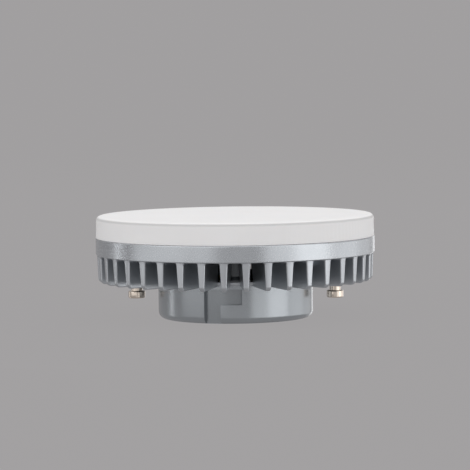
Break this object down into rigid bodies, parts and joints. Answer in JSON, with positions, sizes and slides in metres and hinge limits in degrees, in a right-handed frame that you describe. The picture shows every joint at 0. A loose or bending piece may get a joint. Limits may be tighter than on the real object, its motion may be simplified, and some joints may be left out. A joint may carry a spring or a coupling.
{
  "type": "led disc lamp",
  "caption": "Flat round lamp with an opal diffuser over a finned die-cast body, and a round keyed boss with two mushroom contact pins for a turn-and-lock holder.",
  "frame": {"origin": "centre of the boss's flat end, on which the lamp stands", "axes": "+Z from the boss towards the diffuser, along the lamp's axis; the contact pins lie on +X and -X, and the keyed slots face -Y and +Y"},
  "size_m": [0.0742, 0.0742, 0.0273],
  "materials": {
    "opal_diffuser": "frosted opal polycarbonate with fine upright flutes on its side",
    "cast_aluminium": "die cast, blasted and silver lacquered",
    "base_plastic": "blue grey moulded plastic, satin",
    "pin_metal": "nickel plated, bright",
    "pad": "grey heat conducting pad",
    "light_board": "aluminium core board with white mask",
    "emitter": "yellow phosphor in a white package",
    "screw_steel": "zinc plated steel",
    "white_plastic": "white moulded nylon",
    "driver_laminate": "green circuit laminate",
    "ferrite": "sintered ferrite, dark grey",
    "bobbin_plastic": "black moulded bobbin",
    "winding_tape": "copper winding under yellow tape",
    "can_sleeve": "aluminium can in a dark sleeve",
    "film_box": "yellow moulded box",
    "black_package": "black moulded package",
    "resistor_coat": "flameproof coat, blue grey",
    "varistor_coat": "blue epoxy coat",
    "lead_sleeve_red": "red insulated lead",
    "lead_sleeve_black": "black insulated lead",
    "lead_sleeve_white": "white insulated lead"
  },
  "bodies": {
    "root": {"diffuser": "opal_diffuser", "heat_sink": "cast_aluminium", "base_housing": "base_plastic", "pin_left": "pin_metal", "pin_right": "pin_metal", "thermal_pad": "pad", "led_board": "light_board", "led_packages": "emitter", "board_screws": "screw_steel", "board_connector": "white_plastic", "lead_grommet": "white_plastic", "driver_cover": "white_plastic", "driver_board": "driver_laminate", "transformer_core": "ferrite", "transformer_bobbin": "bobbin_plastic", "transformer_winding": "winding_tape", "input_capacitor": "can_sleeve", "output_capacitor": "can_sleeve", "film_capacitor": "film_box", "bridge_rectifier": "black_package", "fuse_resistor": "resistor_coat", "filter_choke": "ferrite", "driver_chip": "black_package", "varistor": "varistor_coat", "input_lead_left": "lead_sleeve_white", "input_lead_right": "lead_sleeve_white", "output_lead_positive": "lead_sleeve_red", "output_lead_negative": "lead_sleeve_black"}
  },
  "joints": []
}
